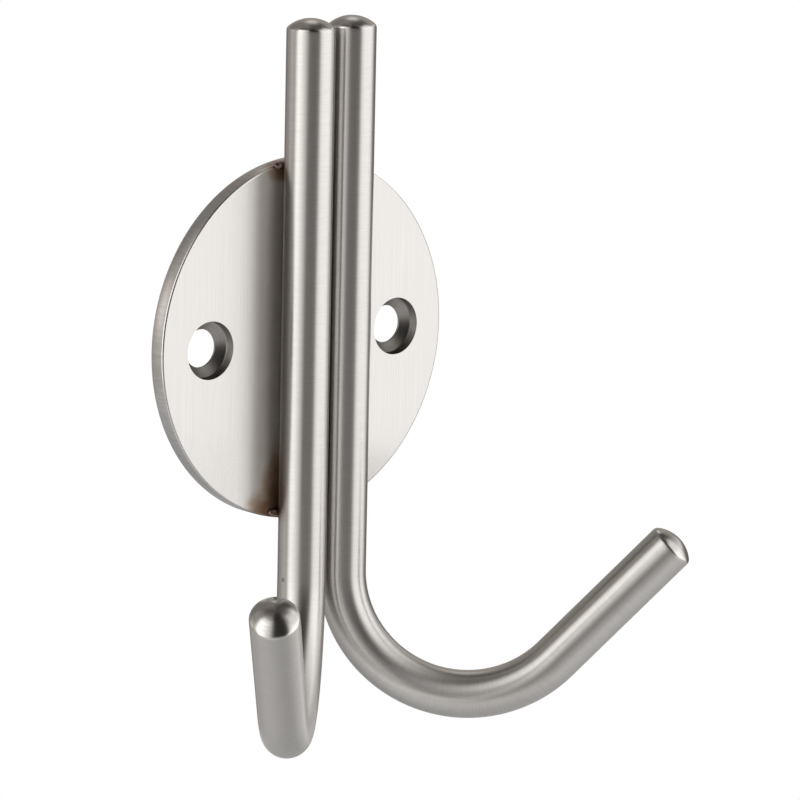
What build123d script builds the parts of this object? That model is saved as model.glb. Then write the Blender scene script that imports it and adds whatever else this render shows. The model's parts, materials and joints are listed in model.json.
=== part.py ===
from build123d import *
import os
from math import radians, sqrt, tan

# Double coat hook: two equal round rods, bent to a J at the lower end, stand side by side on a
# round wall plate and are tacked to it by four small weld beads at the rim of the plate.
# Frame: the wall is the plane y = 0, the hook stands out along -Y, +Z is up, and the origin is
# the middle of the plate's back face. Millimetres and degrees.

# Wall plate
plate_diameter = 60.0
plate_thickness = 3.0
plate_edge_break = 0.3  # 45 degree deburring on both faces
screw_spacing = 40.0  # between the two holes, on the level line through the middle
screw_hole_diameter = 6.3
head_bore_diameter = 9.6  # each hole is opened from the front with a larger drill
head_bore_depth = 1.65  # from the plate's face down to the shoulder
drill_point_angle = 118.0

# Rods
rod_diameter = 8.0
rod_gap = 0.8  # daylight between the two straight shanks
pair_offset = 1.2  # the pair stands this far right of the plate's middle
rod_top = 53.4  # crown of the upper dome above the plate's middle
bend_start = 38.9  # drop from the plate's middle to the start of the bend
bend_radius = 20.7  # at the rod's axis
bend_angle = 136.8
splay_angle = 45.0  # each bend turns this far away from straight out of the wall
tip_length = 27.5  # straight run from the end of the bend to the foot of the dome
dome_height = 1.6
dome_edge_round = 0.8

# Weld beads, laid along the plate's rim into the corner between a rod and the plate
bead_diameter = 1.6
bead_length = 3.1
bead_lift = 0.25  # bead's middle above the plate's face
bead_from_contact = 2.75  # bead's middle out from the line where the rod touches the plate
upper_bead_from_rim = 0.2  # bead's middle in from the plate's rim
lower_bead_from_rim = 1.0

rod_radius = rod_diameter / 2
plate_front = -plate_thickness
rod_axis_y = plate_front - rod_radius


def rod_axis_x(side):
    """Place of a rod's straight axis across the plate: side is -1 for the left rod, +1 for the right."""
    return pair_offset + side * (rod_diameter + rod_gap) / 2


def back_plate():
    """Round plate with deburred rims and two screw holes left and right, opened for the screw heads."""
    disc = extrude(Plane.XZ * Circle(plate_diameter / 2), plate_thickness)
    disc = chamfer(disc.edges(), plate_edge_break)
    half_angle = drill_point_angle / 2
    point_depth = (head_bore_diameter - screw_hole_diameter) / 2 / tan(radians(half_angle))
    mouth = Plane.XZ.offset(plate_thickness) * Circle(head_bore_diameter / 2)
    shoulder = Plane.XZ.offset(plate_thickness - head_bore_depth) * Circle(head_bore_diameter / 2)
    hole = extrude(Plane.XZ * Circle(screw_hole_diameter / 2), plate_thickness)
    hole += extrude(mouth, -head_bore_depth)
    hole += extrude(shoulder, -point_depth, taper=half_angle)
    for side in (-1, 1):
        disc -= Pos(side * screw_spacing / 2, 0, 0) * hole
    return disc


def domed_end():
    """Shallow turned dome with a softened rim, standing on the XY plane and closing a cut rod."""
    crown_radius = (rod_radius**2 + dome_height**2) / (2 * dome_height)
    rim = (rod_radius, dome_edge_round)
    crown = (0, dome_edge_round + dome_height)
    base = Line((0, 0), (rod_radius, 0))
    collar = Line((rod_radius, 0), rim)
    dome = RadiusArc(rim, crown, -crown_radius)
    middle = Line(crown, (0, 0))
    outline = make_face([base, collar, dome, middle])
    outline = fillet(outline.vertices().sort_by_distance(rim)[:1], dome_edge_round)
    return revolve(Plane.XZ * outline, Axis.Z)


def bent_rod(side):
    """One rod: straight shank, round bend and straight tip in one upright plane, both ends domed."""
    outward = Vector(0, -1, 0).rotate(Axis.Z, side * splay_angle)
    foot = Vector(rod_axis_x(side), rod_axis_y, 0)
    bend_plane = Plane(origin=foot, x_dir=outward, z_dir=outward.cross(Vector(0, 0, 1)))
    cap_length = dome_height + dome_edge_round
    shank = Line((0, rod_top - cap_length), (0, -bend_start))
    bend = JernArc(shank @ 1, shank % 1, bend_radius, bend_angle)
    tip = Line(bend @ 1, bend @ 1 + (tip_length - dome_edge_round) * (bend % 1))
    route = bend_plane * Wire([shank, bend, tip])
    start = Plane(origin=route @ 0, z_dir=-(route % 0))
    end = Plane(origin=route @ 1, z_dir=route % 1)
    rod = sweep(start * Circle(rod_radius), route)
    return rod + start * domed_end() + end * domed_end()


def weld_bead(side, end, from_rim, rod, plate):
    """Tack of weld metal along the plate's rim, in the outer corner between a rod and the plate."""
    across = rod_axis_x(side) + side * bead_from_contact
    height = sqrt((plate_diameter / 2)**2 - across**2) - from_rim
    middle = Pos(across, plate_front - bead_lift, end * height)
    straight = bead_length - bead_diameter
    bead = Rot(0, 90, 0) * Cylinder(bead_diameter / 2, straight)
    for tail in (-1, 1):
        bead += Pos(tail * straight / 2, 0, 0) * Sphere(bead_diameter / 2)
    return middle * bead - rod - plate


plate = back_plate()
pieces = {"back_plate": plate}
for side, side_name in ((-1, "left"), (1, "right")):
    rod = bent_rod(side)
    pieces[side_name + "_hook"] = rod
    for end, end_name, from_rim in ((1, "upper", upper_bead_from_rim), (-1, "lower", lower_bead_from_rim)):
        pieces[end_name + "_" + side_name + "_weld"] = weld_bead(side, end, from_rim, rod, plate)

os.makedirs("parts", exist_ok=True)
for name, solid in pieces.items():
    export_step(solid, "parts/" + name + ".step")
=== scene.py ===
import json
import math
import bmesh
import bpy
from mathutils import Matrix, Vector


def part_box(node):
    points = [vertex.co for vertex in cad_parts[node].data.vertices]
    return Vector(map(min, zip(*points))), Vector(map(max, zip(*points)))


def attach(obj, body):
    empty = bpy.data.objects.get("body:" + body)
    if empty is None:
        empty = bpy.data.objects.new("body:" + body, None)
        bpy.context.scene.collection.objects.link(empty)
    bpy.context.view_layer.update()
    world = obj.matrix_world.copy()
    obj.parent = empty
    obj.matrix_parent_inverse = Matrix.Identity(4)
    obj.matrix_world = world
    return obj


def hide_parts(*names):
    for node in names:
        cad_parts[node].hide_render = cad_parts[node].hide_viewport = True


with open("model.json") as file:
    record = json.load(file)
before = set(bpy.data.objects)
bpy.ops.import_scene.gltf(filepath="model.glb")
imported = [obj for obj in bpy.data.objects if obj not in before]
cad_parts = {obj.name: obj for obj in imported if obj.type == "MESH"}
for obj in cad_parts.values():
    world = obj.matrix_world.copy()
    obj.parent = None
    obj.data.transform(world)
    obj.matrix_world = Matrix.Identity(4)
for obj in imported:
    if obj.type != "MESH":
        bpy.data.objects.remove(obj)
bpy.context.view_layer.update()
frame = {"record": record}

# Wall plate
# A disc cut from 3 mm stainless sheet, deburred round its rim and brushed upright. A larger drill has opened
# its two screw holes from the front, and painted shade darkens their lower walls. Welding the rods to it has
# left brown heat tint at the beads, and painted shade darkens the face in a band just outside each rod.
plate_low, plate_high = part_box("back_plate")
plate_radius = (plate_high[0] - plate_low[0]) / 2
plate_back = plate_high[1]
plate_front = plate_low[1]
plate_edge_break = 0.0003
edge_steps = 3
screw_holes = next(mount["dims"] for mount in frame["record"]["mounts"] if mount["name"] == "screw_holes")
hole_radius = screw_holes["hole_r_mm"] / 1000
half_spacing = screw_holes["spacing_x_mm"] / 1000 / 2
hole_places = [-half_spacing, half_spacing]
head_bore_radius = 0.0048
head_bore_depth = 0.00165
drill_point_angle = math.radians(118)
drill_point_depth = (head_bore_radius - hole_radius) / math.tan(drill_point_angle / 2)
drill_corner_radius = 0.0004
corner_steps = 4
rim_points = 256
hole_points = 96
front_finish, rim_finish, hole_finish, back_finish = range(4)


def ring(shape, across, depth, radius, count):
    """Closed ring of vertices round an axis along Y that stands across from the plate's middle."""
    points = []
    for step in range(count):
        turn = 2 * math.pi * step / count
        points.append(shape.verts.new((across + radius * math.cos(turn), depth, radius * math.sin(turn))))
    edges = [shape.edges.new((points[step - 1], points[step])) for step in range(count)]
    return points, edges


def turned_wall(shape, rings, finish):
    """Smooth wall of quads through rings with equal counts of vertices."""
    for (near, _), (far, _) in zip(rings, rings[1:]):
        for step in range(len(near)):
            wall = shape.faces.new((near[step - 1], near[step], far[step], far[step - 1]))
            wall.smooth = True
            wall.material_index = finish


def flat_face(shape, rings, finish):
    """Flat face that fills the first ring and leaves the other rings open, with crisp edges."""
    edges = [edge for _, ring_edges in rings for edge in ring_edges]
    filled = bmesh.ops.triangle_fill(shape, edges=edges, use_beauty=True)
    for part in filled["geom"]:
        if isinstance(part, bmesh.types.BMFace):
            part.material_index = finish
    for edge in edges:
        edge.smooth = False


plate_shape = bmesh.new()
rim_profile = []
for step in range(edge_steps + 1):
    turn = math.pi / 2 * step / edge_steps
    inset = plate_edge_break * (1 - math.sin(turn))
    rim_profile.append((plate_radius - inset, plate_front + plate_edge_break * (1 - math.cos(turn))))
rim_profile += [(radius, plate_back + plate_front - depth) for radius, depth in reversed(rim_profile)]
rim_rings = [ring(plate_shape, 0, depth, radius, rim_points) for radius, depth in rim_profile]
turned_wall(plate_shape, rim_rings, rim_finish)
front_rings = [rim_rings[0]]
back_rings = [rim_rings[-1]]
shoulder_depth = plate_front + head_bore_depth
corner_turn = drill_point_angle / 2
corner_start = shoulder_depth - drill_corner_radius * math.tan(corner_turn / 2)
corner_profile = []
for step in range(corner_steps + 1):
    turn = corner_turn * step / corner_steps
    inset = drill_corner_radius * (1 - math.cos(turn))
    corner_profile.append((head_bore_radius - inset, corner_start + drill_corner_radius * math.sin(turn)))
for across in hole_places:
    mouth = ring(plate_shape, across, plate_front, head_bore_radius, hole_points)
    shoulder = [ring(plate_shape, across, depth, radius, hole_points) for radius, depth in corner_profile]
    throat = ring(plate_shape, across, shoulder_depth + drill_point_depth, hole_radius, hole_points)
    outlet = ring(plate_shape, across, plate_back, hole_radius, hole_points)
    turned_wall(plate_shape, [mouth, *shoulder, throat, outlet], hole_finish)
    for edge in throat[1]:
        edge.smooth = False
    front_rings.append(mouth)
    back_rings.append(outlet)
flat_face(plate_shape, front_rings, front_finish)
flat_face(plate_shape, back_rings, back_finish)
bmesh.ops.recalc_face_normals(plate_shape, faces=plate_shape.faces)
brush_map = plate_shape.loops.layers.uv.new("brush_map")
for wall in plate_shape.faces:
    for corner in wall.loops:
        corner[brush_map].uv = (corner.vert.co.x / plate_radius, corner.vert.co.z / plate_radius)
plate_mesh = bpy.data.meshes.new("wall_plate")
plate_shape.to_mesh(plate_mesh)
plate_shape.free()
plate = bpy.data.objects.new("wall_plate", plate_mesh)
bpy.context.scene.collection.objects.link(plate)


def add_node(tree, kind, inputs=None, **settings):
    """New node in a tree. An input is given a value, or the socket that it is linked to."""
    node = tree.nodes.new(kind)
    for name, value in settings.items():
        setattr(node, name, value)
    for name, value in (inputs or {}).items():
        if isinstance(value, bpy.types.NodeSocket):
            tree.links.new(value, node.inputs[name])
        else:
            node.inputs[name].default_value = value
    return node


def calculate(tree, operation, *values):
    """Result of a Math node on values or sockets."""
    return add_node(tree, "ShaderNodeMath", dict(enumerate(values)), operation=operation).outputs[0]


def combine(tree, operation, *values):
    """Node that calculates with vectors or sockets."""
    return add_node(tree, "ShaderNodeVectorMath", dict(enumerate(values)), operation=operation)


def soft_share(tree, value, start, end, most=1):
    """Share that goes smoothly from 0 to most as a value goes from start to end."""
    limits = {"Value": value, "From Min": start, "From Max": end, "To Max": most}
    return add_node(tree, "ShaderNodeMapRange", limits, interpolation_type="SMOOTHSTEP").outputs[0]


def mix_colours(tree, share, first, second, blend="MIX"):
    """Colour that goes from the first to the second as share goes from 0 to 1."""
    colours = {"Factor": share, 6: first, 7: second}
    return add_node(tree, "ShaderNodeMix", colours, data_type="RGBA", blend_type=blend).outputs[2]


def colour_ramp(tree, value, stops):
    """Colour read from stops of (place from 0 to 1, red, green, blue)."""
    ramp = add_node(tree, "ShaderNodeValToRGB", {"Fac": value})
    elements = ramp.color_ramp.elements
    elements.remove(elements[1])
    elements[0].position = stops[0][0]
    elements[0].color = (*stops[0][1:], 1)
    for place, red, green, blue in stops[1:]:
        elements.new(place).color = (red, green, blue, 1)
    return ramp.outputs["Color"]


def own_place(tree):
    """Place on a piece, in the piece's own coordinates."""
    return add_node(tree, "ShaderNodeTexCoord").outputs["Object"]


def new_group(name, inputs, outputs):
    """Shader node group with named sockets. Returns its tree, its input sockets and its output node."""
    tree = bpy.data.node_groups.new(name, "ShaderNodeTree")
    for socket_name, kind in inputs.items():
        tree.interface.new_socket(socket_name, in_out="INPUT", socket_type="NodeSocket" + kind)
    for socket_name, kind in outputs.items():
        tree.interface.new_socket(socket_name, in_out="OUTPUT", socket_type="NodeSocket" + kind)
    return tree, tree.nodes.new("NodeGroupInput").outputs, tree.nodes.new("NodeGroupOutput")


# Grain that a belt leaves: noise drawn out to the size of one scratch in each direction.
belt_grain, given, result = new_group(
    "belt_grain", {"Position": "Vector", "Scratch Size": "Vector"}, {"Grain": "Float"}
)
stretched = combine(belt_grain, "DIVIDE", given["Position"], given["Scratch Size"]).outputs[0]
grain_noise = {"Vector": stretched, "Scale": 1, "Detail": 3, "Roughness": 0.6}
scratches = add_node(belt_grain, "ShaderNodeTexNoise", grain_noise)
belt_grain.links.new(scratches.outputs["Fac"], result.inputs["Grain"])

# Oxide colours round the welds: dark at the bead, then brown, then straw, then clean steel. The lower tacks
# were made hotter, and their tint runs along the rim and in a narrow streak up the rod. A run weighs the way
# from a bead in its three directions, and the two sides are folded into one.
pair_across = (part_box("left_hook")[1][0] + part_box("right_hook")[0][0]) / 2
oxide_colours = [
    (0.0, 0.48, 0.39, 0.32),
    (0.35, 0.33, 0.245, 0.195),
    (0.65, 0.37, 0.285, 0.225),
    (0.85, 0.47, 0.41, 0.33),
    (1.0, 0.55, 0.53, 0.48),
]
heat_runs = [
    ("upper_left_weld", Vector((1.7, 1.7, 1.7))),
    ("lower_left_weld", Vector((0.85, 0.85, 1.1))),
    ("lower_left_weld", Vector((1.5, 1.5, 0.5))),
]
tint_patch = 0.0025
least_reach = 0.7
reach_spread = 0.6
full_tint = 0.5
out_of_reach = 1.0
heat_tint, given, result = new_group(
    "heat_tint", {"Position": "Vector", "Steel": "Color", "Reach": "Float"}, {"Color": "Color"}
)
from_pair = combine(heat_tint, "SUBTRACT", given["Position"], (pair_across, 0, 0)).outputs[0]
apart = add_node(heat_tint, "ShaderNodeSeparateXYZ", {0: from_pair}).outputs
one_side = {"X": calculate(heat_tint, "ABSOLUTE", apart["X"]), "Y": apart["Y"], "Z": apart["Z"]}
folded = add_node(heat_tint, "ShaderNodeCombineXYZ", one_side).outputs[0]
to_bead = out_of_reach
for node, run in heat_runs:
    bead_low, bead_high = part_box(node)
    bead_middle = [(low + high) / 2 for low, high in zip(bead_low, bead_high)]
    bead_folded = Vector((pair_across - bead_middle[0], *bead_middle[1:]))
    weighed = combine(heat_tint, "MULTIPLY", folded, run).outputs[0]
    from_bead = combine(heat_tint, "DISTANCE", weighed, bead_folded * run).outputs["Value"]
    to_bead = calculate(heat_tint, "MINIMUM", to_bead, from_bead)
patch_noise = {"Vector": given["Position"], "Scale": 1 / tint_patch, "Detail": 2}
patches = add_node(heat_tint, "ShaderNodeTexNoise", patch_noise).outputs["Fac"]
ragged = calculate(heat_tint, "MULTIPLY_ADD", patches, reach_spread, least_reach)
tint_end = calculate(heat_tint, "MULTIPLY", given["Reach"], ragged)
distance = calculate(heat_tint, "DIVIDE", to_bead, tint_end)
oxide = colour_ramp(heat_tint, distance, oxide_colours)
tinted = mix_colours(heat_tint, soft_share(heat_tint, distance, 1, full_tint), given["Steel"], oxide)
heat_tint.links.new(tinted, result.inputs["Color"])


def steel_finish(
    name,
    steel,
    grain_depth,
    scratch_size,
    roughness,
    anisotropy=0,
    space=None,
    map_name=None,
    tint_reach=0,
    scratch_depth=0,
):
    """Stainless steel with belt grain and heat tint. Its highlight is drawn out across the grain.

    space names the attribute that the grain follows, in place of the piece's own coordinates, and map_name
    the map whose first direction runs across the grain. tint_reach is how far heat tint goes from a weld,
    and scratch_depth how deep the grain is cut.
    """
    material = bpy.data.materials.new(name)
    material.use_nodes = True
    tree = material.node_tree
    shader = tree.nodes["Principled BSDF"]
    place = own_place(tree)
    surface = place
    if space:
        surface = add_node(tree, "ShaderNodeAttribute", attribute_name=space).outputs["Vector"]
    grain_node = add_node(tree, "ShaderNodeGroup", node_tree=belt_grain)
    tree.links.new(surface, grain_node.inputs["Position"])
    grain_node.inputs["Scratch Size"].default_value = scratch_size
    grain = grain_node.outputs["Grain"]
    light = [part * (1 + grain_depth) for part in steel]
    dark = [part * (1 - grain_depth) for part in steel]
    colour = mix_colours(tree, grain, (*dark, 1), (*light, 1))
    if tint_reach:
        tint = add_node(tree, "ShaderNodeGroup", node_tree=heat_tint)
        tree.links.new(place, tint.inputs["Position"])
        tree.links.new(colour, tint.inputs["Steel"])
        tint.inputs["Reach"].default_value = tint_reach
        colour = tint.outputs["Color"]
    tree.links.new(colour, shader.inputs["Base Color"])
    shader.inputs["Metallic"].default_value = 1
    shader.inputs["Roughness"].default_value = roughness
    shader.inputs["Anisotropic"].default_value = anisotropy
    if scratch_depth:
        relief = {"Strength": 1, "Distance": scratch_depth, "Height": grain}
        tree.links.new(add_node(tree, "ShaderNodeBump", relief).outputs["Normal"], shader.inputs["Normal"])
    if map_name:
        tangent = add_node(tree, "ShaderNodeTangent", direction_type="UV_MAP", uv_map=map_name)
        tree.links.new(tangent.outputs["Tangent"], shader.inputs["Tangent"])
    return material


def paint_shade_on(material, value, low, high, shades):
    """Multiply a finish's colour by painted shade that follows a value from low to high."""
    tree = material.node_tree
    colour = tree.nodes["Principled BSDF"].inputs["Base Color"]
    limits = {"Value": value, "From Min": low, "From Max": high}
    shade = colour_ramp(tree, add_node(tree, "ShaderNodeMapRange", limits).outputs[0], shades)
    tree.links.new(mix_colours(tree, 1, colour.links[0].from_socket, shade, "MULTIPLY"), colour)


brushed_face = {
    "steel": (0.545, 0.525, 0.506),
    "grain_depth": 0.1,
    "scratch_size": (0.00015, 0.00015, 0.02),
    "roughness": 0.26,
    "anisotropy": 0.8,
    "map_name": "brush_map",
    "tint_reach": 0.0066,
    "scratch_depth": 0.00001,
}
brushed_front = steel_finish("brushed_front", **brushed_face)
brushed_back = steel_finish("brushed_back", **brushed_face)
# Painted shade: the front face is darkened in a band just outside each rod, where the rods shade it.
painted_shade_reach = 0.014
painted_shade_by_rods = [
    (0.5, 1.0, 1.0, 1.0),
    (0.66, 0.82, 0.81, 0.8),
    (0.76, 0.82, 0.81, 0.8),
    (0.9, 1.0, 1.0, 1.0),
]
front_tree = brushed_front.node_tree
front_across = add_node(front_tree, "ShaderNodeSeparateXYZ", {0: own_place(front_tree)}).outputs["X"]
from_rods = calculate(front_tree, "ABSOLUTE", calculate(front_tree, "SUBTRACT", front_across, pair_across))
paint_shade_on(brushed_front, from_rods, 0, painted_shade_reach, painted_shade_by_rods)
cut_rim = steel_finish(
    "cut_rim",
    steel=(0.66, 0.64, 0.62),
    grain_depth=0.2,
    scratch_size=(0.0004, 0.004, 0.0004),
    roughness=0.26,
    tint_reach=0.006,
)
drilled_wall = steel_finish(
    "drilled_wall",
    steel=(0.45, 0.43, 0.41),
    grain_depth=0.3,
    scratch_size=(0.003, 0.0001, 0.003),
    roughness=0.34,
)
# Painted shade: the walls of each hole grow darker towards the bottom.
painted_shade_down_holes = [
    (0.0, 0.35, 0.34, 0.33),
    (0.35, 0.6, 0.59, 0.58),
    (0.55, 0.95, 0.94, 0.93),
    (1.0, 1.0, 1.0, 1.0),
]
wall_tree = drilled_wall.node_tree
wall_height = add_node(wall_tree, "ShaderNodeSeparateXYZ", {0: own_place(wall_tree)}).outputs["Z"]
paint_shade_on(drilled_wall, wall_height, -head_bore_radius, head_bore_radius, painted_shade_down_holes)
for finish in (brushed_front, cut_rim, drilled_wall, brushed_back):
    plate_mesh.materials.append(finish)
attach(plate, "root")
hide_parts("back_plate")

# Bent rods
# Two lengths of 8 mm stainless rod, ground round, with a shallow dome turned on both ends. Each is bent
# once to a J, cold, over a round former, and stands on the plate along its shank. The left one has a small
# dark fleck low on its outer side.
rod_radius = 0.004
bend_radius = 0.0207
bend_angle = math.radians(136.8)
splay_angle = math.radians(45)
tip_length = 0.0275
dome_height = 0.0016
dome_softness = 0.0006
turned_zone = 0.0017
crown_radius = (rod_radius**2 + dome_height**2) / (2 * dome_height)
sides_round = 96
dome_stations = 30
dome_zone = 0.003
straight_step = 0.003
bend_step = math.radians(2)
seam_gap = 1e-6


def stations_between(start, end, step):
    """Even steps from start up to, but without, the end."""
    count = math.ceil((end - start) / step)
    return [start + (end - start) * index / count for index in range(count)]


def rod_stations(shank_length, bend_length, total):
    """Distances along a rod at which it gets a ring: close together on the domes and in the bend."""
    dome = [dome_zone * (index / dome_stations) ** 2 for index in range(dome_stations)]
    shank = stations_between(dome_zone, shank_length, straight_step)
    bend = stations_between(shank_length, shank_length + bend_length, bend_step * bend_radius)
    tip = stations_between(shank_length + bend_length, total - dome_zone, straight_step)
    return dome + shank + bend + tip + [total - dome_zone] + [total - place for place in reversed(dome)]


def rod_curve(name, node, side):
    """Middle line of a rod, from the crown of its upper dome down the shank, round the bend, up the tip."""
    low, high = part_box(node)
    axis_x = high[0] - rod_radius if side < 0 else low[0] + rod_radius
    axis_y = high[1] - rod_radius
    outward = Vector((side * math.sin(splay_angle), -math.cos(splay_angle), 0))
    shank_length = high[2] - (low[2] + rod_radius + bend_radius)
    bend_length = bend_radius * bend_angle
    total = shank_length + bend_length + tip_length + dome_height
    stations = rod_stations(shank_length, bend_length, total)
    curve = bpy.data.curves.new(name, "CURVE")
    curve.dimensions = "3D"
    spline = curve.splines.new("POLY")
    spline.points.add(len(stations) - 1)
    for point, along in zip(spline.points, stations):
        turned = min(max(along - shank_length, 0), bend_length) / bend_radius
        beyond = max(along - shank_length - bend_length, 0)
        drop = min(along, shank_length) + bend_radius * math.sin(turned) + beyond * math.cos(turned)
        reach = bend_radius * (1 - math.cos(turned)) + beyond * math.sin(turned)
        place = Vector((axis_x, axis_y, high[2] - drop)) + reach * outward
        point.co = (*place, 1)
    return curve


def new_geometry_tree(name, inputs):
    """Geometry node tree with named inputs. Returns it, the inputs' identifiers and their sockets inside."""
    tree = bpy.data.node_groups.new(name, "GeometryNodeTree")
    identifiers = {}
    for socket_name, kind in inputs.items():
        socket = tree.interface.new_socket(socket_name, in_out="INPUT", socket_type="NodeSocket" + kind)
        identifiers[socket_name] = socket.identifier
    tree.interface.new_socket("Geometry", in_out="OUTPUT", socket_type="NodeSocketGeometry")
    return tree, identifiers, tree.nodes.new("NodeGroupInput").outputs


def keep_values(tree, geometry, values):
    """Capture Attribute node that keeps named values of a geometry's points as they are now."""
    node = add_node(tree, "GeometryNodeCaptureAttribute", {"Geometry": geometry}, domain="POINT")
    for name, (kind, socket) in values.items():
        node.capture_items.new(kind, name)
        tree.links.new(socket, node.inputs[name])
    return node.outputs


def store_values(tree, geometry, name, kind, domain, socket):
    """Geometry with a named attribute that materials can read."""
    target = {"Geometry": geometry, "Name": name}
    node = add_node(tree, "GeometryNodeStoreNamedAttribute", target, data_type=kind, domain=domain)
    tree.links.new(socket, node.inputs["Value"])
    return node.outputs["Geometry"]


def change_geometry(tree, kind, geometry, **inputs):
    """Geometry after one more node, whose other inputs are named with underscores for spaces."""
    sockets = {name.replace("_", " "): value for name, value in inputs.items()}
    return add_node(tree, kind, {"Geometry": geometry, **sockets}).outputs["Geometry"]


# Sweep of a round section along the middle line, closed by a crown at each end. It keeps the straightened
# rod as an attribute, so that grain can follow the bend.
rod_tree, rod_inputs, given = new_geometry_tree(
    "rod_sweep",
    {
        "Geometry": "Geometry",
        "Rod Radius": "Float",
        "Crown Radius": "Float",
        "Turned Zone": "Float",
        "Rim Softness": "Float",
        "Sides": "Int",
        "Shank Finish": "Material",
        "Crown Finish": "Material",
    },
)
along = add_node(rod_tree, "GeometryNodeSplineParameter").outputs["Length"]
total = add_node(rod_tree, "GeometryNodeSplineLength").outputs["Length"]
from_end = calculate(rod_tree, "MINIMUM", along, calculate(rod_tree, "SUBTRACT", total, along))
on_crown = calculate(rod_tree, "MINIMUM", from_end, given["Crown Radius"])
crown_width = calculate(rod_tree, "MULTIPLY", given["Crown Radius"], 2)
across_crown = calculate(rod_tree, "SUBTRACT", crown_width, on_crown)
crown = calculate(rod_tree, "SQRT", calculate(rod_tree, "MULTIPLY", on_crown, across_crown))
section = calculate(rod_tree, "SMOOTH_MIN", crown, given["Rod Radius"], given["Rim Softness"])
middle_line = keep_values(
    rod_tree,
    given["Geometry"],
    {"Along": ("FLOAT", along), "From End": ("FLOAT", from_end), "Section": ("FLOAT", section)},
)
circle = add_node(rod_tree, "GeometryNodeCurvePrimitiveCircle", {"Resolution": given["Sides"], "Radius": 1})
outline = keep_values(
    rod_tree,
    circle.outputs["Curve"],
    {
        "Place": ("VECTOR", add_node(rod_tree, "GeometryNodeInputPosition").outputs[0]),
        "Round": ("FLOAT", add_node(rod_tree, "GeometryNodeSplineParameter").outputs["Factor"]),
    },
)
swept = add_node(
    rod_tree,
    "GeometryNodeCurveToMesh",
    {
        "Curve": middle_line["Geometry"],
        "Profile Curve": outline["Geometry"],
        "Scale": middle_line["Section"],
    },
)
off_axis = combine(rod_tree, "SCALE", outline["Place"])
rod_tree.links.new(middle_line["Section"], off_axis.inputs["Scale"])
on_axis = add_node(rod_tree, "ShaderNodeCombineXYZ", {"Z": middle_line["Along"]})
straightened = combine(rod_tree, "ADD", off_axis.outputs[0], on_axis.outputs[0]).outputs[0]
unrolled = add_node(rod_tree, "ShaderNodeCombineXYZ", {"X": middle_line["Along"], "Y": outline["Round"]})
bar = swept.outputs["Mesh"]
bar = store_values(rod_tree, bar, "straightened_rod", "FLOAT_VECTOR", "POINT", straightened)
bar = store_values(rod_tree, bar, "grind_map", "FLOAT2", "CORNER", unrolled.outputs[0])
bar = change_geometry(rod_tree, "GeometryNodeMergeByDistance", bar, Distance=seam_gap)
bar = change_geometry(rod_tree, "GeometryNodeSetShadeSmooth", bar)
bar = change_geometry(rod_tree, "GeometryNodeRealizeInstances", bar)
bar = change_geometry(rod_tree, "GeometryNodeSetMaterial", bar, Material=given["Shank Finish"])
on_dome = calculate(rod_tree, "LESS_THAN", middle_line["From End"], given["Turned Zone"])
bar = change_geometry(
    rod_tree, "GeometryNodeSetMaterial", bar, Selection=on_dome, Material=given["Crown Finish"]
)
add_node(rod_tree, "NodeGroupOutput", {"Geometry": bar})

ground_steel = steel_finish(
    "ground_rod",
    steel=(0.63, 0.608, 0.58),
    grain_depth=0.13,
    scratch_size=(0.003, 0.003, 0.0002),
    roughness=0.36,
    anisotropy=0.9,
    space="straightened_rod",
    map_name="grind_map",
    tint_reach=0.0028,
)
turned_steel = steel_finish(
    "turned_crown",
    steel=(0.6, 0.58, 0.555),
    grain_depth=0.3,
    scratch_size=(0.003, 0.003, 0.00008),
    roughness=0.22,
    anisotropy=0.6,
    space="straightened_rod",
    map_name="grind_map",
)
fleck_place = (-0.0072, -0.007, -0.03905)
fleck_size = 0.0006
fleck_colour = (0.27, 0.22, 0.2, 1)
ground_tree = ground_steel.node_tree
ground_colour = ground_tree.nodes["Principled BSDF"].inputs["Base Color"]
to_fleck = combine(ground_tree, "DISTANCE", own_place(ground_tree), fleck_place).outputs["Value"]
fleck = soft_share(ground_tree, to_fleck, fleck_size, 0)
flecked = mix_colours(ground_tree, fleck, ground_colour.links[0].from_socket, fleck_colour)
ground_tree.links.new(flecked, ground_colour)
rod_settings = {
    "Rod Radius": rod_radius,
    "Crown Radius": crown_radius,
    "Turned Zone": turned_zone,
    "Rim Softness": dome_softness,
    "Sides": sides_round,
    "Shank Finish": ground_steel,
    "Crown Finish": turned_steel,
}


def grown_mesh(name, source, tree, identifiers, settings):
    """Plain mesh that a geometry node tree makes from a source object, which is then removed."""
    bpy.context.scene.collection.objects.link(source)
    modifier = source.modifiers.new(tree.name, "NODES")
    modifier.node_group = tree
    for socket_name, value in settings.items():
        modifier[identifiers[socket_name]] = value
    mesh = bpy.data.meshes.new_from_object(source.evaluated_get(bpy.context.evaluated_depsgraph_get()))
    mesh.name = name
    source.modifiers.remove(modifier)
    bpy.data.objects.remove(source)
    shape = bmesh.new()
    shape.from_mesh(mesh)
    bmesh.ops.recalc_face_normals(shape, faces=shape.faces)
    shape.to_mesh(mesh)
    shape.free()
    return mesh


for side, side_name in ((-1, "left"), (1, "right")):
    node = side_name + "_hook"
    name = side_name + "_rod"
    line = bpy.data.objects.new(name + "_line", rod_curve(name + "_line", node, side))
    rod = bpy.data.objects.new(name, grown_mesh(name, line, rod_tree, rod_inputs, rod_settings))
    bpy.context.scene.collection.objects.link(rod)
    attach(rod, "root")
    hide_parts(node)

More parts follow.
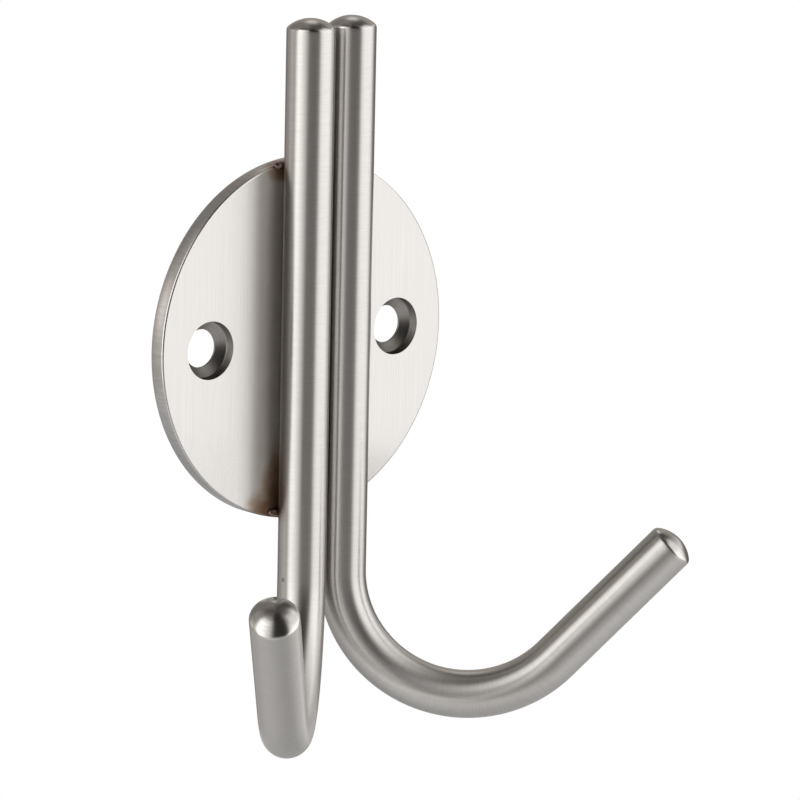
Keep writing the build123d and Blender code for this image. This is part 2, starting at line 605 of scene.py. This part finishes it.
# Weld beads
# Four short tacks of weld metal, laid along the plate's rim into the corner between each rod and the
# plate. They are left raw, dark and ripply.
bead_nodes = ["upper_left_weld", "lower_left_weld", "upper_right_weld", "lower_right_weld"]
bead_diameter = 0.0016
bead_length = 0.0031
bead_ripple = 0.0003
ripple_size = 0.0006
bead_sides = 32
bead_rings = 24
bead_points = []
for node in bead_nodes:
    low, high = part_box(node)
    inward = 1 if "left" in node else -1
    outer_end = low[0] if inward > 0 else high[0]
    bead_across = outer_end + inward * bead_length / 2
    bead_points.append((bead_across, low[1] + bead_diameter / 2, (low[2] + high[2]) / 2))

# A ball drawn out along the rim, set on each place and sunk here and there by ripples.
bead_tree, bead_inputs, given = new_geometry_tree(
    "weld_tacks",
    {
        "Geometry": "Geometry",
        "Radius": "Float",
        "Straight": "Float",
        "Ripple": "Float",
        "Ripple Size": "Float",
        "Sides": "Int",
        "Rings": "Int",
        "Finish": "Material",
    },
)
ball = add_node(
    bead_tree,
    "GeometryNodeMeshUVSphere",
    {"Segments": given["Sides"], "Rings": given["Rings"], "Radius": given["Radius"]},
)
place = add_node(bead_tree, "GeometryNodeInputPosition").outputs[0]
ball_across = add_node(bead_tree, "ShaderNodeSeparateXYZ", {0: place}).outputs["X"]
towards_end = calculate(bead_tree, "DIVIDE", ball_across, given["Radius"])
half_straight = calculate(bead_tree, "DIVIDE", given["Straight"], 2)
drawn_out = calculate(bead_tree, "MULTIPLY", towards_end, half_straight)
stretch = add_node(bead_tree, "ShaderNodeCombineXYZ", {"X": drawn_out}).outputs[0]
tack = change_geometry(bead_tree, "GeometryNodeSetPosition", ball.outputs["Mesh"], Offset=stretch)
tacks = add_node(bead_tree, "GeometryNodeInstanceOnPoints", {"Points": given["Geometry"], "Instance": tack})
tacks = change_geometry(bead_tree, "GeometryNodeRealizeInstances", tacks.outputs["Instances"])
ripple_place = combine(bead_tree, "SCALE", place)
bead_tree.links.new(calculate(bead_tree, "DIVIDE", 1, given["Ripple Size"]), ripple_place.inputs["Scale"])
ripple_noise = {"Vector": ripple_place.outputs[0], "Scale": 1, "Detail": 2}
ripples = add_node(bead_tree, "ShaderNodeTexNoise", ripple_noise).outputs["Fac"]
sunk = calculate(bead_tree, "MULTIPLY", calculate(bead_tree, "SUBTRACT", ripples, 1), given["Ripple"])
ripple_step = combine(bead_tree, "SCALE", add_node(bead_tree, "GeometryNodeInputNormal").outputs["Normal"])
bead_tree.links.new(sunk, ripple_step.inputs["Scale"])
tacks = change_geometry(bead_tree, "GeometryNodeSetPosition", tacks, Offset=ripple_step.outputs[0])
tacks = change_geometry(bead_tree, "GeometryNodeSetShadeSmooth", tacks)
tacks = change_geometry(bead_tree, "GeometryNodeRealizeInstances", tacks)
tacks = change_geometry(bead_tree, "GeometryNodeSetMaterial", tacks, Material=given["Finish"])
add_node(bead_tree, "NodeGroupOutput", {"Geometry": tacks})

raw_weld = steel_finish(
    "raw_weld",
    steel=(0.24, 0.19, 0.16),
    grain_depth=0.5,
    scratch_size=(0.0004, 0.0004, 0.0004),
    roughness=0.3,
)
bead_settings = {
    "Radius": bead_diameter / 2,
    "Straight": bead_length - bead_diameter,
    "Ripple": bead_ripple,
    "Ripple Size": ripple_size,
    "Sides": bead_sides,
    "Rings": bead_rings,
    "Finish": raw_weld,
}
bead_spots = bpy.data.meshes.new("weld_spots")
bead_spots.from_pydata(bead_points, [], [])
spots = bpy.data.objects.new("weld_spots", bead_spots)
bead_mesh = grown_mesh("weld_beads", spots, bead_tree, bead_inputs, bead_settings)
beads = bpy.data.objects.new("weld_beads", bead_mesh)
bpy.context.scene.collection.objects.link(beads)
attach(beads, "root")
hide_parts(*bead_nodes)

# Floor
# A pale sheet far below the hook, which hangs free. The lens sees it as plain white, and the steel sees it
# as soft grey, with a pool of light from each softbox and a shade behind.
floor_drop = 0.6
floor_radius = 1.4
floor_sides = 96
floor_glow = 0.53
floor_pools = [
    {"place": (-0.64, -0.18), "reach": 0.75, "added_glow": 0.3},
    {"place": (0.6, -1.0), "reach": 0.8, "added_glow": 0.27},
    {"place": (0.1, 0.75), "reach": 0.9, "added_glow": -0.17},
]
floor_shape = bmesh.new()
floor_place = Matrix.Translation((0, 0, -floor_drop))
bmesh.ops.create_circle(
    floor_shape, cap_ends=True, radius=floor_radius, segments=floor_sides, matrix=floor_place
)
floor_mesh = bpy.data.meshes.new("floor")
floor_shape.to_mesh(floor_mesh)
floor_shape.free()
floor = bpy.data.objects.new("floor", floor_mesh)
bpy.context.scene.collection.objects.link(floor)
floor_paper = bpy.data.materials.new("pale_paper")
floor_paper.use_nodes = True
paper_tree = floor_paper.node_tree
paper_tree.nodes.clear()
paper_place = own_place(paper_tree)
paper_glow = floor_glow
for pool in floor_pools:
    to_pool = combine(paper_tree, "DISTANCE", paper_place, (*pool["place"], -floor_drop)).outputs["Value"]
    pooled = soft_share(paper_tree, to_pool, pool["reach"], 0, pool["added_glow"])
    paper_glow = calculate(paper_tree, "ADD", paper_glow, pooled)
seen = add_node(paper_tree, "ShaderNodeLightPath").outputs["Is Camera Ray"]
paper_glow = calculate(paper_tree, "MAXIMUM", paper_glow, seen)
paper_light = add_node(paper_tree, "ShaderNodeEmission", {"Strength": paper_glow})
add_node(paper_tree, "ShaderNodeOutputMaterial", {"Surface": paper_light.outputs[0]})
floor_mesh.materials.append(floor_paper)

# Studio light
# A grey tent with a softbox on the left and a taller one in front on the right, a dark gap between them
# where the camera stands, and cards, a lamp and dim walls round them. The lens itself sees white all round.
tent_wall = 0.4
tent_top = 0.12
tent_warmth = 0.8
wall_to_top = (50, 66)
amber = (1.0, 0.91, 0.84)

# For each panel, where it starts, is full, fades and ends, in degrees round from the front to the right and
# up from level, then its brightness and warmth. A later panel covers an earlier one. A limit past straight
# behind or straight up is never reached, so the panel runs on there.
light_panels = {
    "low wall behind": ((124, 142, 192, 208), (-29, -19, 0, 10), 0.2, 0.8),
    "low wall right": ((84, 94, 122, 136), (-40, -28, 2, 12), 0.16, 0.6),
    "wall behind, right half": ((148, 160, 192, 208), (14, 26, 116, 124), 0.25, 0.8),
    "wall behind, left half": ((-208, -192, -160, -146), (14, 26, 116, 124), 0.25, 0.8),
    "wall left": ((-166, -130, -118, -100), (-30, -10, 14, 34), 0.55, 0.6),
    "card left": ((-154, -142, -134, -122), (-4, 4, 14, 24), 1.05, 0.6),
    "lamp behind": ((120, 134, 142, 156), (32, 46, 50, 64), 1.1, 0.3),
    "gap at the camera": ((-61, -47, -5, 9), (-18, -10, 116, 124), 0.03, 0.6),
    "dim top right": ((84, 96, 116, 128), (38, 50, 116, 124), 0.08, 0.6),
    "card right": ((76, 84, 104, 114), (10, 16, 22, 32), 0.9, 0),
    "left softbox": ((-119, -100, -102, -40), (-36, -24, 38, 56), 2.1, 0),
    "right softbox, upper part": ((8, 24, 72, 88), (20, 36, 50, 64), 1.1, 0),
    "right softbox": ((-1, 15, 72, 88), (-40, -12, 22, 46), 1.25, 0),
    "right softbox, middle": ((2, 26, 54, 78), (-26, -10, 18, 34), 1.74, 0),
}


def warm_light(brightness, warmth):
    """Colour of a light that is white at warmth 0 and amber at warmth 1."""
    return (*[brightness * (1 - warmth * (1 - part)) for part in amber], 1)


def soft_between(tree, angle, limits):
    """Share that rises softly from start to full and falls softly from fade to end, in degrees."""
    start, full, fade, end = [math.radians(limit) for limit in limits]
    rise = soft_share(tree, angle, start, full)
    fall = soft_share(tree, angle, end, fade)
    return calculate(tree, "MULTIPLY", rise, fall)


studio = bpy.data.worlds.new("studio")
studio.use_nodes = True
bpy.context.scene.world = studio
studio_tree = studio.node_tree
studio_tree.nodes.clear()
direction = add_node(studio_tree, "ShaderNodeTexCoord").outputs["Generated"]
parts = add_node(studio_tree, "ShaderNodeSeparateXYZ", {"Vector": direction}).outputs
azimuth = calculate(studio_tree, "ARCTAN2", parts["X"], calculate(studio_tree, "MULTIPLY", parts["Y"], -1))
elevation = calculate(studio_tree, "ARCSINE", parts["Z"])
towards_top = soft_share(studio_tree, elevation, *[math.radians(limit) for limit in wall_to_top])
wall_light = warm_light(tent_wall, tent_warmth)
top_light = warm_light(tent_top, tent_warmth)
tent = mix_colours(studio_tree, towards_top, wall_light, top_light)
for across, upright, brightness, warmth in light_panels.values():
    level_share = soft_between(studio_tree, azimuth, across)
    share = calculate(studio_tree, "MULTIPLY", level_share, soft_between(studio_tree, elevation, upright))
    tent = mix_colours(studio_tree, share, tent, warm_light(brightness, warmth))
lit = add_node(studio_tree, "ShaderNodeBackground", {"Color": tent})
white = add_node(studio_tree, "ShaderNodeBackground", {"Color": (1, 1, 1, 1)})
seen = add_node(studio_tree, "ShaderNodeLightPath").outputs["Is Camera Ray"]
shown = add_node(studio_tree, "ShaderNodeMixShader", {0: seen, 1: lit.outputs[0], 2: white.outputs[0]})
add_node(studio_tree, "ShaderNodeOutputWorld", {"Surface": shown.outputs[0]})
bpy.context.scene.view_settings.view_transform = "Standard"

# Camera
# It stands left of the hook and a little above it, and is turned so that the plate's middle falls on the
# same pixel as in the photograph.
view_azimuth = math.radians(-41.918)
view_elevation = math.radians(10.912)
view_roll = math.radians(1.228)
view_depth = 0.79725
frame_pixels = 800
focal_pixels = 4835.1
plate_middle_pixel = (292.71, 335.53)
sensor_width = 36.0
back = Vector((math.sin(view_azimuth), -math.cos(view_azimuth), math.tan(view_elevation))).normalized()
level = Vector((0, 0, 1)).cross(back).normalized()
upward = back.cross(level)
right = math.cos(view_roll) * level + math.sin(view_roll) * upward
up = math.cos(view_roll) * upward - math.sin(view_roll) * level
pixel_size = view_depth / focal_pixels
middle_right = (plate_middle_pixel[0] - frame_pixels / 2) * pixel_size
middle_up = (frame_pixels / 2 - plate_middle_pixel[1]) * pixel_size
stand = view_depth * back - middle_right * right - middle_up * up
lens = bpy.data.cameras.new("camera")
lens.sensor_fit = "HORIZONTAL"
lens.sensor_width = sensor_width
lens.lens = focal_pixels / frame_pixels * sensor_width
camera = bpy.data.objects.new("camera", lens)
camera.matrix_world = Matrix((
    (right.x, up.x, back.x, stand.x),
    (right.y, up.y, back.y, stand.y),
    (right.z, up.z, back.z, stand.z),
    (0, 0, 0, 1),
))
bpy.context.scene.collection.objects.link(camera)
bpy.context.scene.camera = camera
